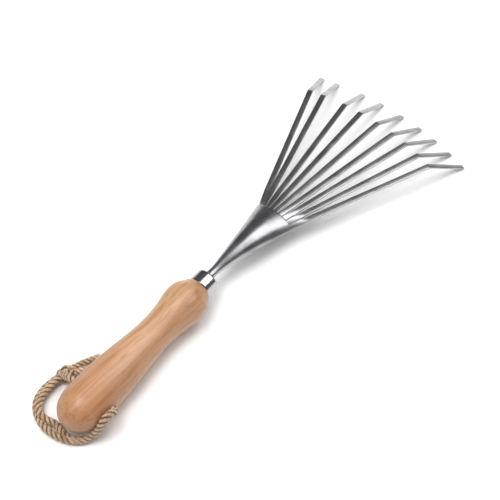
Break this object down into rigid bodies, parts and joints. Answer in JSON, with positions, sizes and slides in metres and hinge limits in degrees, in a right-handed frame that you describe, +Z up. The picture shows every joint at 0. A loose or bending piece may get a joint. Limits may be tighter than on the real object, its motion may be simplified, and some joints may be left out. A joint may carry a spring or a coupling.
{
  "type": "hand fan rake",
  "caption": "Nine-tine hand fan rake with a pressed steel head, steel ferrule, turned wooden handle and a knotted jute hanging loop.",
  "frame": {"origin": "bottom centre of the box round the steel and wood, with the rake lying tines down on a flat surface", "axes": "+X from the handle towards the tine tips, +Z up, +Y to the left seen from the handle"},
  "size_m": [0.3783, 0.1424, 0.0342],
  "materials": {
    "turned_wood": "satin",
    "polished_ferrule": "polished",
    "shell_steel": "satin",
    "tine_steel": "satin",
    "jute": "matte"
  },
  "bodies": {
    "rake": {"wood_handle": "turned_wood", "ferrule": "polished_ferrule", "tang": "tine_steel", "head_shell": "shell_steel", "tine_1": "tine_steel", "tine_2": "tine_steel", "tine_3": "tine_steel", "tine_4": "tine_steel", "tine_5": "tine_steel", "tine_6": "tine_steel", "tine_7": "tine_steel", "tine_8": "tine_steel", "tine_9": "tine_steel"},
    "hang_loop": {"hang_cord": "jute", "cord_inner_strand": "jute", "cord_knot": "jute", "cord_tail_long": "jute", "cord_tail_short": "jute"}
  },
  "joints": [
    {"name": "loop_swing", "type": "hinge", "parent": "rake", "child": "hang_loop", "pos_m": [-0.15652, -0.00415, 0.01697], "axis": [-0.0349, 0.9994, 0], "range_deg": [0, 160]}
  ]
}
